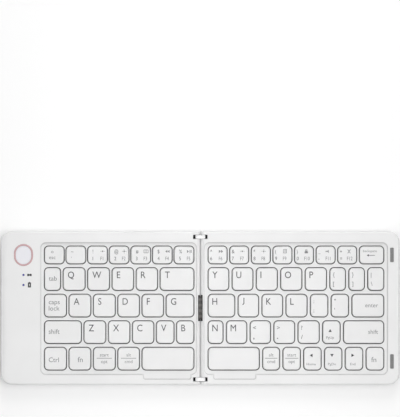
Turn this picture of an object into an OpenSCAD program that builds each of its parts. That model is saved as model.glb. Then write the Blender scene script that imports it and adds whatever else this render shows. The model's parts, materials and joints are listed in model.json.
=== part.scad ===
// Folding keyboard in two halves on a pair of double-pin hinges, opened flat.
// +X runs along the keyboard, +Z is up and the origin is on the table under the middle.
// Each half is described in distances from the middle line, and the left half is mirrored.

/* [Case] */
// Length of one half, from the middle line to its outer end
half_l = 153; // [150:0.5:175]
// Depth of the case from front to back
case_d = 118; // [117:0.5:130]
// Height of a half without its feet
case_h = 10; // [9.8:0.1:13]
// Height of the bottom shell, up to the joint with the bezel
bottom_h = 3.4; // [2.6:0.1:4]
// Thickness of the floor
floor_t = 1.2; // [0.8:0.1:1.6]
// Thickness of the outer walls
wall_t = 1.6; // [1:0.1:2]
// Radius of the outer corners, seen from above
corner_r = 8.5; // [5:0.5:12]
// Radius along the upper and lower outer edges
edge_r = 1.5; // [0.5:0.1:2]
// Width of the band along the left end that slopes down to the edge
left_end_w = 4.4; // [3:0.1:6]
// Radius of the sloping band
left_end_r = 12; // [8:0.5:20]

/* [Key deck] */
// How far the deck lies below the rim
deck_recess = 1.8; // [1.2:0.1:2.2]
// Thickness of the deck
deck_t = 1; // [0.6:0.1:1.3]
// Distance from the middle line to the edge of the deck
deck_start = 2.7; // [2.4:0.1:3]
// Width of deck beyond the last keys
deck_margin_end = 3.3; // [1.5:0.1:4]
// Width of deck behind the keys
deck_margin_back = 3.2; // [1.5:0.1:4]
// Width of deck in front of the keys
deck_margin_front = 3.9; // [1.5:0.1:4]
// Radius of the corners of the deck
deck_r = 4.5; // [2:0.5:6]
// Width of the groove round the deck, which fades out at the hinge
groove_w = 0.8; // [0.3:0.05:0.9]
// Depth of the groove round the deck
groove_d = 0.3; // [0.2:0.05:0.5]
// How far the deck reaches under the bezel
deck_lip = 0.7; // [0.4:0.1:0.8]
// Distance from the middle line to the left thumb relief
left_thumb_start = 6.8; // [6.8:0.1:20]
// Width of the left thumb relief
left_thumb_w = 37.3; // [20:0.1:45]
// Distance from the middle line to the right thumb relief
right_thumb_start = 9.8; // [6.8:0.1:20]
// Width of the right thumb relief
right_thumb_w = 33.2; // [20:0.1:45]
// How far the thumb reliefs reach out of the deck
thumb_reach = 3.6; // [1.5:0.1:4]
// Radius of the outer corners of the thumb reliefs
thumb_r = 2; // [1:0.1:3]

/* [Keys] */
// Distance from the middle line to the first keys on the left half
left_field_start = 5.1; // [4.5:0.1:7]
// Distance from the last keys to the outer end of the left half
left_end_room = 33.3; // [31:0.1:38]
// Gap between the keys on the left half
left_gap = 2.2; // [1.8:0.1:2.6]
// Gap between the keys in the top row on the left half
left_top_gap = 1.7; // [1.4:0.1:2.4]
// Distance from the middle line to the first keys on the right half
right_field_start = 6.1; // [4.5:0.1:7]
// Distance from the last keys to the outer end of the right half
right_end_room = 12.2; // [11.5:0.1:16]
// Gap between the keys on the right half
right_gap = 2.85; // [2.3:0.05:3.2]
// Gap between the keys in the top row on the right half
right_top_gap = 2.3; // [1.8:0.1:2.9]
// Depth of the keys in the top row
top_key_d = 13.3; // [11:0.1:14]
// Distance from the front and back edges of the case to the keys
key_edge = 11.55; // [11.4:0.05:14]
// Gap between the rows
row_gap = 3.3; // [2.4:0.1:3.4]
// Radius of the corners of a key
key_r = 3; // [1.2:0.1:3.2]
// Gap between a key and its hole in the deck
key_clearance = 0.6; // [0.3:0.05:0.7]
// How far the tops of the keys lie below the rim
key_drop = 0.4; // [0.2:0.05:0.6]
// Thickness of the top of a key
cap_t = 1.2; // [0.8:0.1:1.3]
// Thickness of the skirt of a key
skirt_t = 1; // [0.6:0.1:1.3]
// Travel of a key
key_travel = 1.4; // [1:0.1:1.6]

/* [Key mechanism] */
// Height between the membrane and the underside of a key that is pressed down
pressed_h = 1.9; // [1.7:0.1:2.1]
// Thickness of the membrane circuit
membrane_t = 0.3; // [0.2:0.05:0.5]
// Thickness of the base plate
plate_t = 0.5; // [0.3:0.1:0.8]
// Diameter of a rubber dome where it stands
dome_d = 3.8; // [3:0.1:4]
// Diameter of a rubber dome at its top
dome_top_d = 2.4; // [1.5:0.1:2.8]
// Largest width of a scissor link
link_frame_w = 11; // [9:0.5:11]
// Width of the rails of a scissor link
link_rail = 0.8; // [0.6:0.1:0.9]
// Thickness of a scissor link
link_frame_t = 0.5; // [0.3:0.05:0.6]
// Keys longer than this have two pairs of scissor links
long_key = 27; // [26:0.5:28]

/* [Hinge] */
// Gap between the two halves, open and closed
hinge_gap = 0.4; // [0.3:0.05:0.8]
// Radius of the rounded hinge ends, about the pins
end_r = 3.5; // [3.2:0.1:4]
// Radius of the ends of a hinge link
link_r = 1.7; // [1.5:0.05:1.8]
// Width of a hinge link
link_w = 2.9; // [2:0.1:3.2]
// Clearance round a hinge link
link_clearance = 0.2; // [0.15:0.05:0.3]
// Thickness of the wall inside a hinge link, beside the deck
inner_cheek_t = 0.9; // [0.7:0.1:1.6]
// Diameter of a hinge pin
pin_d = 2; // [1.5:0.1:2.2]
// Diameter of the head of a hinge pin
pin_head_d = 3.5; // [3:0.1:3.8]
// Thickness of the head of a hinge pin
pin_head_t = 0.6; // [0.4:0.1:0.9]
// Running clearance between a pin and a link
pin_clearance = 0.05; // [0.03:0.01:0.08]

/* [Cable] */
// How far the notch for the cable grommets reaches past the cable at each end
notch_end = 1; // [0.8:0.1:3]
// Depth of the notch, from the middle line
notch_x = 1.75; // [1.5:0.05:1.8]
// Thickness of the upright lip of a grommet
lip_t = 0.3; // [0.25:0.05:0.5]
// Height of a grommet below the cable
grommet_h = 2; // [1:0.1:2.4]
// Width of the flat cable
cable_w = 18; // [12:0.5:18]
// Thickness of the flat cable
cable_t = 0.15; // [0.1:0.05:0.2]
// Clearance round the flat cable
cable_clearance = 0.1; // [0.08:0.01:0.15]
// Distance from the middle line to where the cable meets the membrane
cable_reach = 4.5; // [3.9:0.1:4.5]

/* [Feet, screws and bumpers] */
// Height of the feet below the case
foot_h = 1; // [0.6:0.1:2]
// Length of a foot
foot_l = 10; // [6:0.5:12]
// Width of a foot
foot_w = 2.2; // [2.2:0.1:3]
// Depth of the recess that holds a foot
foot_seat = 0.4; // [0.2:0.1:0.5]
// Distance from the front or back edge to the middle of a foot
foot_inset = 5; // [4.5:0.1:5.5]
// Distance from the middle line to the middle of the first feet
foot_near = 10; // [10:0.5:16]
// Distance from the outer end to the middle of the last feet
foot_far = 12; // [11:0.5:16]
// Diameter of a screw
screw_d = 1.2; // [1:0.1:1.4]
// Diameter of the head of a screw
screw_head_d = 2; // [1.8:0.1:2.1]
// Height of the head of a screw
screw_head_h = 0.6; // [0.4:0.1:0.8]
// Length of a screw without its head
screw_l = 5; // [4:0.1:5.5]
// Length of a bumper
bumper_l = 11; // [6:0.5:14]
// Width of a bumper
bumper_w = 2.7; // [1.5:0.1:3]
// Radius of the corners of a bumper
bumper_r = 0.6; // [0.3:0.1:0.7]
// How far a bumper stands above the rim
bumper_proud = 0.3; // [0.1:0.05:0.3]
// Depth of the pocket that holds a bumper
bumper_seat = 0.8; // [0.4:0.1:1]
// Distance from the outer end to the middle of the bumpers
bumper_inset = 5.9; // [4.8:0.1:6.2]
// Distance from the front or back edge to the middle of a bumper
bumper_edge = 18.1; // [14:0.1:30]

/* [Connect button and electronics] */
// Distance from the left end to the middle of the button
button_inset = 17.2; // [15:0.1:19]
// Distance from the back edge to the middle of the button
button_back = 18.2; // [17:0.1:24]
// Width of the ring round the button
ring_w = 14.7; // [12:0.1:16]
// Depth of the ring from front to back
ring_d = 16.9; // [16:0.1:19]
// Width of the line of the ring
ring_line = 1.3; // [0.8:0.1:2]
// Depth of the groove that holds the ring
ring_seat = 0.8; // [0.4:0.1:1]
// Clearance round the button
button_clearance = 0.15; // [0.1:0.05:0.3]
// How far the button lies below the rim
button_drop = 0.15; // [0.05:0.05:0.4]
// Travel of the button
button_travel = 0.4; // [0.2:0.1:0.6]
// Diameter of a status light
light_d = 1.7; // [1:0.1:2.4]
// Distance from the button to the first status light
light_first = 15.3; // [12:0.1:18]
// Distance between the status lights
light_pitch = 7.7; // [5:0.1:12]
// Thickness of the circuit board
board_t = 0.8; // [0.6:0.1:1]
// Width of the circuit board
board_w = 20; // [18:0.5:20]
// Height of the underside of the circuit board above the floor
board_lift = 2.8; // [2.4:0.1:3]
// Width of the charging socket
socket_w = 7.5; // [7:0.1:9]
// Height of the charging socket
socket_h = 2.6; // [2.2:0.1:2.6]
// Length of the charging socket
socket_l = 5.5; // [4:0.1:6]
// Clearance round the charging socket
socket_clearance = 0.2; // [0.1:0.05:0.3]
// Width of the battery
battery_w = 23; // [15:0.5:24]
// Distance from the front wall to the battery
battery_front = 7.4; // [7:0.1:30]
// Thickness of the battery
battery_t = 4; // [3:0.1:4.5]

/* [Hidden] */
$fn = 48;

// Shares of the length of a row that its keys take, from left to right
LEFT_ROWS = [
    [14.9, 14.9, 14.9, 14.9, 14.9, 14.9, 15],
    [12.2, 16.6, 16.6, 16.3, 16.2, 25.7],
    [16.7, 16.5, 16.6, 16.4, 16.3, 21.1],
    [28.2, 16.5, 16.3, 16.2, 13.3, 13.1],
    [16.7, 16.5, 16.6, 16.4, 39.6]
];
RIGHT_ROWS = [
    [14.3, 14.3, 14.3, 14.3, 14.3, 14.3, 14.3, 18.5],
    [15.6, 15.7, 15.9, 16, 16.1, 11.7, 11.7, 12.05],
    [20.2, 15.5, 15.6, 15.9, 13.1, 13.1, 24.2],
    [11.2, 15.4, 15.4, 15.7, 16, 13.2, 30.7],
    [39.1, 12.7, 13.1, 13.1, 13.1, 13.2, 13.3]
];
row_count = 5;

// Slack that lets one piece drop into another
fit = 0.05;
// Overshoot of a cut past the face that it opens
over = 1;

// Boss that takes a case screw, and the pad under it
boss_r = 2;
boss_headroom = 0.2;
pad_r = 2.6;
pad_h = 0.8;

// Posts under the base plate, and how far the plates stop short of the deck in front
post_r = 1.5;
post_edge = 25;
post_count = 3;
plate_inset = 0.5;

// Switch and chip on the circuit board
switch_w = 4;
switch_h = 1.1;
chip_w = 8;
chip_d = 7;
chip_h = 1;
chip_inset = 3;

// Circuit board: its gap to the outer wall, its neck beside the back screw boss, how far it reaches
// in front of the last light, and where its posts stand
board_gap = 3.5;
board_neck_w = 10;
board_front = 13.8;
board_post_inset = 6;
boss_gap = 1.5;

// Gaps of the battery to the board and to the outer wall, and the radius of its corners
battery_back = 4;
battery_gap = 1;
battery_r = 1;

// Collar and stem under the button, and the foot of a light guide
stem_r = 1.5;
collar = 0.8;
collar_t = 0.6;
collar_gap = 0.2;
guide_r = 1.4;

// Shell of the charging socket
socket_wall = 0.4;
socket_inset = 1;

// Room between a skirt and the scissor links, between the outer and the inner link, and round a dome
scissor_room_x = 0.7;
scissor_room_y = 1;
scissor_play = 0.2;
dome_play = 0.1;
pair_room = 0.5;

// Heights above the table
case_z = foot_h;
split_z = case_z + bottom_h;
rim_z = case_z + case_h;
floor_z = case_z + floor_t;
deck_z = rim_z - deck_recess;
key_z = rim_z - key_drop;
mechanism_h = key_travel + pressed_h;
membrane_z = key_z - cap_t - mechanism_h;
plate_z = membrane_z - membrane_t;
scissor_z = membrane_z + mechanism_h / 2;
pin_z = rim_z - end_r;
pad_top_z = floor_z + pad_h;
boss_top_z = deck_z - deck_t - boss_headroom;
board_z = floor_z + board_lift;
board_top_z = board_z + board_t;
screw_z = case_z + foot_seat;
screw_top_z = screw_z + screw_head_h + screw_l;

// Distances from the middle line
end_x = hinge_gap / 2;
pin_x = end_r + end_x;
slot_end = pin_x + link_r + link_clearance;
core_end = half_l - corner_r;
inner_end = half_l - wall_t;
foot_far_x = half_l - foot_far;
board_end_x = inner_end - board_gap;
board_start_x = board_end_x - board_w;
battery_end_x = inner_end - battery_gap;
socket_x = board_start_x + board_neck_w / 2;
button_x = half_l - button_inset;
bumper_x = half_l - bumper_inset;
left_field_l = half_l - left_field_start - left_end_room;
right_field_l = half_l - right_field_start - right_end_room;
post_pitch = (half_l - left_end_room) / (post_count + 0.5);

// Distances from the centre line, from front to back
core_y = case_d / 2 - corner_r;
inner_y = case_d / 2 - wall_t;
foot_y = case_d / 2 - foot_inset;
button_y = case_d / 2 - button_back;
last_light_y = button_y - light_first - light_pitch;
board_front_y = last_light_y - board_front;
neck_y = foot_y - boss_r - boss_gap;
battery_back_y = board_front_y - battery_back;
battery_front_y = battery_front - inner_y;
bumper_y = case_d / 2 - bumper_edge;
post_y = case_d / 2 - post_edge;
notch_y = cable_w / 2 + notch_end;
dome_room = dome_d / 2 + pair_room;
field_d = case_d - 2 * key_edge;
key_d = (field_d - top_key_d) / (row_count - 1) - row_gap;
deck_back_y = field_d / 2 + deck_margin_back;
deck_front_y = -field_d / 2 - deck_margin_front;
cheek_y = max(deck_back_y, -deck_front_y) + deck_lip + 3 * fit;
slot_inner_y = cheek_y + inner_cheek_t;
slot_y = slot_inner_y + link_w + 2 * link_clearance;

function total(values, count) = count == 0 ? 0 : values[count - 1] + total(values, count - 1);
function is_left(side) = side == "left";
function rows(side) = is_left(side) ? LEFT_ROWS : RIGHT_ROWS;
function field_l(side) = is_left(side) ? left_field_l : right_field_l;
function field_start(side) = is_left(side) ? left_field_start : right_field_start;
function lower_gap(side) = is_left(side) ? left_gap : right_gap;
function top_gap(side) = is_left(side) ? left_top_gap : right_top_gap;
function gap(side, row) = row == 0 ? top_gap(side) : lower_gap(side);
function field_end(side) = field_start(side) + field_l(side);
function deck_end(side) = field_end(side) + deck_margin_end;
function key_count(side, row) = len(rows(side)[row]);

// Length of a row without its gaps, for each share that is given out
function share(side, row) =
    (field_l(side) - (key_count(side, row) - 1) * gap(side, row))
    / total(rows(side)[row], key_count(side, row));

// Left edge of a key, its width and its middle
function key_left(side, row, i) =
    (is_left(side) ? -field_end(side) : field_start(side))
    + total(rows(side)[row], i) * share(side, row) + i * gap(side, row);
function key_w(side, row, i) = rows(side)[row][i] * share(side, row);
function key_middle(side, row, i) = key_left(side, row, i) + key_w(side, row, i) / 2;

// Front edge of a row, and its depth
function row_d(row) = row == 0 ? top_key_d : key_d;
function row_front(row) = field_d / 2 - top_key_d - row * (key_d + row_gap);

// Size of the outer scissor link under a key, and the dome that stands inside the inner link;
// under a long key the dome stands between two pairs of links
function is_long(side, row, i) = key_w(side, row, i) > long_key;
function side_room(side, row, i) = key_w(side, row, i) / 2 - skirt_t - scissor_room_x;
function frame_w(side, row, i) =
    min(link_frame_w,
        is_long(side, row, i) ? side_room(side, row, i) - dome_room : 2 * side_room(side, row, i));
function frame_d(row) = row_d(row) - 2 * (skirt_t + scissor_room_y);
function frame_shift(side, row, i) =
    max(key_w(side, row, i) / 4, dome_room + frame_w(side, row, i) / 2);
function dome_base(side, row, i) =
    min(dome_d, frame_w(side, row, i) - 4 * link_rail - 2 * (scissor_play + dome_play));

// Plain shapes

module block(x0, x1, y0, y1, z0, z1) {
    translate([x0, y0, z0]) cube([x1 - x0, y1 - y0, z1 - z0]);
}

module rounded_block(x0, x1, y0, y1, z0, z1, r) {
    block(x0 + r, x1 - r, y0, y1, z0, z1);
    block(x0, x1, y0 + r, y1 - r, z0, z1);
    for (x = [x0 + r, x1 - r], y = [y0 + r, y1 - r])
        translate([x, y, z0]) cylinder(r = r, h = z1 - z0);
}

// Bar with round ends along X, about its centre
module bar_x(l, w, z0, z1) {
    block(-(l - w) / 2, (l - w) / 2, -w / 2, w / 2, z0, z1);
    for (x = [-1, 1]) translate([x * (l - w) / 2, 0, z0]) cylinder(d = w, h = z1 - z0);
}

module bar_y(l, w, z0, z1) {
    rotate([0, 0, 90]) bar_x(l, w, z0, z1);
}

module rod_y(r, y0, y1) {
    translate([0, y0, 0]) rotate([-90, 0, 0]) cylinder(r = r, h = y1 - y0);
}

// The same at the back and at the front
module front_and_back() {
    children();
    mirror([0, 1, 0]) children();
}

// The right half as it is, or mirrored for the left one
module on_side(side) {
    mirror([is_left(side) ? 1 : 0, 0, 0]) children();
}

// Case

// Outline of the upper part of an outer wall, from the corner's axis outwards
module top_profile(h) {
    square([corner_r - edge_r, h]);
    square([corner_r, h - edge_r]);
    translate([corner_r - edge_r, h - edge_r]) circle(r = edge_r);
}

// Outline of the lower part of an outer wall
module bottom_profile(h) {
    square([corner_r - edge_r, h]);
    translate([0, edge_r]) square([corner_r, h - edge_r]);
    translate([corner_r - edge_r, edge_r]) circle(r = edge_r);
}

// Solid slab of a half whose three outer sides have the profile given as its child
module edged_slab(h) {
    block(end_x, core_end, -core_y, core_y, 0, h);
    translate([core_end, core_y, 0]) rotate([90, 0, 0]) linear_extrude(2 * core_y) children();
    front_and_back() {
        translate([end_x, core_y, 0]) rotate([90, 0, 90]) linear_extrude(core_end - end_x) children();
        translate([core_end, core_y, 0]) rotate_extrude(angle = 90) children();
    }
}

// What rounds the upper edge of the hinge end, about the pin
module hinge_end_cut() {
    difference() {
        block(end_x - over, pin_x, -case_d, case_d, pin_z, rim_z + over);
        translate([pin_x, 0, pin_z]) rod_y(end_r, -case_d - over, case_d + over);
    }
}

// What rounds the lower edge of the hinge end
module hinge_foot_cut() {
    difference() {
        block(end_x - over, end_x + edge_r, -case_d, case_d, case_z - over, case_z + edge_r);
        translate([end_x + edge_r, 0, case_z + edge_r]) rod_y(edge_r, -case_d - over, case_d + over);
    }
}

// What slopes the band along the left end
module left_end_cut() {
    x = half_l - left_end_w;
    difference() {
        block(x, half_l + over, -case_d, case_d, rim_z - left_end_w, rim_z + over);
        translate([x, 0, rim_z - left_end_r]) rod_y(left_end_r, -case_d - over, case_d + over);
    }
}

// Space inside the walls of a half
module cavity(z0, z1) {
    r = corner_r - wall_t;
    block(deck_start, core_end, -inner_y, inner_y, z0, z1);
    block(core_end - over, inner_end, -core_y, core_y, z0, z1);
    for (y = [-core_y, core_y]) translate([core_end, y, z0]) cylinder(r = r, h = z1 - z0);
}

module feet_places() {
    for (x = [foot_near, foot_far_x], y = [-foot_y, foot_y]) translate([x, y, 0]) children();
}

module bottom_shell() {
    difference() {
        union() {
            difference() {
                translate([0, 0, case_z]) edged_slab(bottom_h) bottom_profile(bottom_h);
                hinge_foot_cut();
                cavity(floor_z, split_z + over);
            }
            feet_places() translate([0, 0, floor_z - fit]) cylinder(r = pad_r, h = pad_h + fit);
            for (i = [1 : post_count], y = [-post_y, 0, post_y])
                translate([i * post_pitch, y, floor_z - fit])
                    cylinder(r = post_r, h = plate_z - plate_t - floor_z + fit);
        }
        feet_places() {
            bar_x(foot_l + 2 * fit, foot_w + 2 * fit, case_z - over, case_z + foot_seat);
            translate([0, 0, case_z]) cylinder(d = screw_head_d + 2 * fit, h = foot_seat + screw_head_h);
            translate([0, 0, case_z]) cylinder(d = screw_d + 2 * fit, h = floor_t + pad_h + over);
        }
    }
}

// Outline of the recess over the deck, with the thumb relief; inset draws it in except at the hinge
module deck_window(side, inset, z0, z1) {
    start = is_left(side) ? left_thumb_start : right_thumb_start;
    w = is_left(side) ? left_thumb_w : right_thumb_w;
    rounded_block(deck_start, deck_end(side) - inset, deck_front_y + inset, deck_back_y - inset,
        z0, z1, deck_r - inset);
    rounded_block(start + inset, start + w - inset, deck_front_y - thumb_reach + inset,
        deck_front_y + 2 * thumb_r, z0, z1, thumb_r - inset);
}

// Plate of the deck, or the pocket for it with some play round it
module deck_plate(side, play, z0, z1) {
    start = is_left(side) ? left_thumb_start : right_thumb_start;
    w = is_left(side) ? left_thumb_w : right_thumb_w;
    edge = deck_lip + play;
    block(deck_start + 2 * fit - play, deck_end(side) + edge, deck_front_y - edge, deck_back_y + edge,
        z0, z1);
    block(start - edge, start + w + edge, deck_front_y - thumb_reach - edge, deck_front_y, z0, z1);
}

// Solid corner that holds a hinge link and its pin
module hinge_corner() {
    block(deck_start - over, slot_end + wall_t, cheek_y, case_d / 2, split_z - over, deck_z + over);
}

module screw_boss() {
    front_and_back() {
        for (x = [foot_near, foot_far_x]) {
            translate([x, foot_y, pad_top_z]) cylinder(r = boss_r, h = boss_top_z - pad_top_z);
            block(x - boss_r / 2, x + boss_r / 2, foot_y, inner_y + fit, split_z, boss_top_z);
        }
    }
}

// Slot for a hinge link, open towards the other half and upwards
module link_slot() {
    r = link_r + link_clearance;
    translate([pin_x, 0, pin_z]) rod_y(r, slot_inner_y, slot_y);
    block(end_x - over, pin_x, slot_inner_y, slot_y, pin_z - r, rim_z + over);
    block(end_x - over, slot_end, slot_inner_y, slot_y, pin_z, rim_z + over);
}

module pin_holes() {
    translate([pin_x, 0, pin_z]) {
        rod_y(pin_d / 2, cheek_y - over, case_d / 2 + over);
        rod_y(pin_head_d / 2 + fit, case_d / 2 - pin_head_t, case_d / 2 + over);
    }
}

// Notch in the hinge end for the grommet, and the slit that lets the cable in behind it
module cable_notch() {
    block(end_x - over, notch_x, -notch_y, notch_y, pin_z - grommet_h, rim_z + over);
    cable_slit(notch_x - over, deck_start + over);
}

module cable_slit(x0, x1) {
    y = cable_w / 2 + cable_clearance;
    z = cable_t / 2 + cable_clearance;
    block(x0, x1, -y, y, pin_z - z, pin_z + z);
}

module bezel(side) {
    difference() {
        union() {
            difference() {
                translate([0, 0, split_z]) edged_slab(rim_z - split_z) top_profile(rim_z - split_z);
                hinge_end_cut();
                difference() {
                    cavity(split_z - over, deck_z);
                    front_and_back() hinge_corner();
                }
            }
            screw_boss();
        }
        deck_window(side, 0, deck_z - over, rim_z + over);
        deck_plate(side, 2 * fit, deck_z - deck_t - 2 * fit, deck_z);
        front_and_back() {
            link_slot();
            pin_holes();
        }
        cable_notch();
        feet_places() translate([0, 0, case_z]) cylinder(d = screw_d, h = screw_top_z - case_z);
    }
}

module key_deck(side) {
    difference() {
        on_side(side) difference() {
            deck_plate(side, 0, deck_z - deck_t, deck_z);
            difference() {
                deck_window(side, 0, deck_z - groove_d, deck_z + over);
                deck_window(side, groove_w, deck_z - groove_d - over, deck_z + 2 * over);
            }
        }
        for (row = [0 : row_count - 1], i = [0 : key_count(side, row) - 1])
            key_block(side, row, i, key_clearance, deck_z - deck_t - over, deck_z + over);
    }
}

// Plan of a key, grown on all sides, between two heights
module key_block(side, row, i, grow, z0, z1) {
    x = key_left(side, row, i);
    y = row_front(row);
    rounded_block(x - grow, x + key_w(side, row, i) + grow, y - grow, y + row_d(row) + grow, z0, z1,
        key_r + grow);
}

module key_cap(side, row, i) {
    x = key_left(side, row, i);
    y = row_front(row);
    difference() {
        key_block(side, row, i, 0, deck_z - deck_t, key_z);
        rounded_block(x + skirt_t, x + key_w(side, row, i) - skirt_t, y + skirt_t, y + row_d(row) - skirt_t,
            deck_z - deck_t - over, key_z - cap_t, max(key_r - skirt_t, fit));
    }
}

module keys(side, row, first, last) {
    color("whitesmoke") for (i = [first : last]) key_cap(side, row, i);
}

// Plates of the key mechanism

module plate(side, z0, z1) {
    on_side(side)
        block(deck_start + 2 * fit, deck_end(side), deck_front_y + plate_inset, deck_back_y, z0, z1);
}

module domes(side) {
    for (row = [0 : row_count - 1], i = [0 : key_count(side, row) - 1])
        translate([key_middle(side, row, i), row_front(row) + row_d(row) / 2, membrane_z])
            cylinder(d1 = dome_base(side, row, i), d2 = dome_top_d, h = mechanism_h);
}

// One tilted frame of a scissor: its low end in front, or at the back when lean is -1
module scissor_frame(w, d, lean) {
    rise = mechanism_h - link_frame_t;
    tilt = asin(rise / d);
    rotate([lean * tilt, 0, 0])
        difference() {
            block(-w / 2, w / 2, -d / 2, d / 2, -link_frame_t / 2, link_frame_t / 2);
            block(link_rail - w / 2, w / 2 - link_rail, link_rail - d / 2, d / 2 - link_rail, -over, over);
        }
}

module scissor(w, d) {
    scissor_frame(w, d, 1);
    scissor_frame(w - 2 * link_rail - 2 * scissor_play, d, -1);
}

module scissors(side) {
    for (row = [0 : row_count - 1], i = [0 : key_count(side, row) - 1])
        for (way = is_long(side, row, i) ? [-1, 1] : [0])
            translate([key_middle(side, row, i) + way * frame_shift(side, row, i),
                    row_front(row) + row_d(row) / 2, scissor_z])
                scissor(frame_w(side, row, i), frame_d(row));
}

// Small parts of the case

module feet() {
    feet_places() bar_x(foot_l, foot_w, 0, case_z + foot_seat);
}

module screws() {
    feet_places() translate([0, 0, screw_z]) {
        cylinder(d = screw_head_d, h = screw_head_h);
        cylinder(d = screw_d, h = screw_top_z - screw_z);
    }
}

module hinge_pins() {
    front_and_back() translate([pin_x, 0, pin_z]) {
        rod_y(pin_d / 2, cheek_y, case_d / 2);
        rod_y(pin_head_d / 2, case_d / 2 - pin_head_t, case_d / 2);
    }
}

// Rubber step below the cable and upright lip behind it, with a slit for the cable
module grommet() {
    y = notch_y - fit;
    z = pin_z - cable_t / 2 - cable_clearance;
    back_x = notch_x - fit;
    lip_z = pin_z + sqrt(pow(end_r, 2) - pow(pin_x - back_x + lip_t, 2)) - fit;
    difference() {
        union() {
            block(end_x + 2 * fit, back_x, -y, y, pin_z - grommet_h, z);
            block(back_x - lip_t, back_x, -y, y, pin_z - grommet_h, lip_z);
        }
        cable_slit(0, deck_start);
    }
}

module hinge_link() {
    y0 = slot_inner_y + link_clearance;
    y1 = slot_y - link_clearance;
    difference() {
        union() {
            block(-pin_x, pin_x, y0, y1, pin_z - link_r, pin_z + link_r);
            for (x = [-pin_x, pin_x]) translate([x, 0, pin_z]) rod_y(link_r, y0, y1);
        }
        for (x = [-pin_x, pin_x])
            translate([x, 0, pin_z]) rod_y(pin_d / 2 + pin_clearance, y0 - over, y1 + over);
    }
}

// Nodes of the right half

module right_bottom_shell() {
    color("gainsboro") bottom_shell();
}

module right_bezel() {
    color("whitesmoke") difference() {
        bezel("right");
        bumper_places() bumper(fit, rim_z + over);
    }
}

// Bumper up to a height, or the pocket for it with some play round it
module bumper(play, z1) {
    x = bumper_w / 2 + play;
    y = bumper_l / 2 + play;
    rounded_block(-x, x, -y, y, rim_z - bumper_seat, z1, bumper_r + play);
}

module bumper_places() {
    for (y = [-bumper_y, bumper_y]) translate([bumper_x, y, 0]) children();
}

module right_key_deck() {
    color("gainsboro") key_deck("right");
}

module right_base_plate() {
    color("silver") plate("right", plate_z - plate_t, plate_z);
}

module right_membrane() {
    color("honeydew") plate("right", plate_z, membrane_z);
}

module right_domes() {
    color("lightgray") domes("right");
}

module right_scissors() {
    color("ivory") scissors("right");
}

module right_feet() {
    color("dimgray") feet();
}

module closing_bumpers() {
    color("gray") bumper_places() bumper(0, rim_z + bumper_proud);
}

module right_screws() {
    color("darkgray") screws();
}

module right_cable_grommet() {
    color("dimgray") grommet();
}

module right_hinge_pins() {
    color("gray") hinge_pins();
}

// Nodes of the left half

module left_bottom_shell() {
    color("gainsboro") on_side("left") union() {
        bottom_shell();
        for (x = [board_start_x + post_r, board_end_x - post_r],
                y = [board_front_y + board_post_inset, neck_y - board_post_inset])
            translate([x, y, floor_z - fit]) cylinder(r = post_r, h = board_lift + fit);
    }
}

module left_bezel() {
    color("whitesmoke") on_side("left") difference() {
        bezel("left");
        left_end_cut();
        translate([button_x, button_y, 0]) {
            bar_y(ring_d - 2 * ring_line, ring_w - 2 * ring_line, deck_z - over, rim_z + over);
            bar_y(ring_d + 2 * fit, ring_w + 2 * fit, rim_z - ring_seat, rim_z + over);
        }
        light_places() translate([0, 0, deck_z - over])
            cylinder(d = light_d + 2 * fit, h = deck_recess + 2 * over);
        socket_opening();
    }
}

module light_places() {
    for (i = [0, 1]) translate([button_x, button_y - light_first - i * light_pitch, 0]) children();
}

module socket_opening() {
    c = socket_clearance;
    w = socket_w / 2 + c;
    block(socket_x - w, socket_x + w, inner_y - over, case_d / 2 + over,
        board_top_z - c, board_top_z + socket_h + c);
}

module left_key_deck() {
    color("gainsboro") key_deck("left");
}

module left_base_plate() {
    color("silver") plate("left", plate_z - plate_t, plate_z);
}

module left_membrane() {
    color("honeydew") plate("left", plate_z, membrane_z);
}

module left_domes() {
    color("lightgray") domes("left");
}

module left_scissors() {
    color("ivory") scissors("left");
}

module left_feet() {
    color("dimgray") on_side("left") feet();
}

module left_screws() {
    color("darkgray") on_side("left") screws();
}

module left_cable_grommet() {
    color("dimgray") on_side("left") grommet();
}

module left_hinge_pins() {
    color("gray") on_side("left") hinge_pins();
}

module circuit_board() {
    color("seagreen") on_side("left") union() {
        block(board_start_x, board_end_x, board_front_y, neck_y, board_z, board_top_z);
        block(board_start_x, board_start_x + board_neck_w, neck_y - fit, inner_y - fit, board_z, board_top_z);
        translate([button_x - switch_w / 2, button_y - switch_w / 2, board_top_z - fit])
            cube([switch_w, switch_w, switch_h + fit]);
        translate([board_start_x + chip_inset, board_front_y + chip_inset, board_top_z - fit])
            cube([chip_w, chip_d, chip_h + fit]);
    }
}

module battery() {
    color("silver") on_side("left")
        rounded_block(battery_end_x - battery_w, battery_end_x, battery_front_y, battery_back_y,
            floor_z, floor_z + battery_t, battery_r);
}

module charging_socket() {
    w = socket_w / 2;
    mouth_y = case_d / 2 - socket_inset;
    color("silver") on_side("left") difference() {
        block(socket_x - w, socket_x + w, mouth_y - socket_l, mouth_y, board_top_z, board_top_z + socket_h);
        block(socket_x - w + socket_wall, socket_x + w - socket_wall,
            mouth_y - socket_l + socket_wall, mouth_y + over,
            board_top_z + socket_wall, board_top_z + socket_h - socket_wall);
    }
}

module connect_button() {
    l = ring_d - 2 * ring_line - 2 * button_clearance;
    w = ring_w - 2 * ring_line - 2 * button_clearance;
    collar_z = deck_z - collar_gap - collar_t;
    stem_z = board_top_z + switch_h + button_travel + fit;
    color("gainsboro") on_side("left") translate([button_x, button_y, 0]) {
        bar_y(l, w, collar_z, rim_z - button_drop);
        bar_y(l + 2 * collar, w + 2 * collar, collar_z, collar_z + collar_t);
        translate([0, 0, stem_z]) cylinder(r = stem_r, h = collar_z + fit - stem_z);
    }
}

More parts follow.
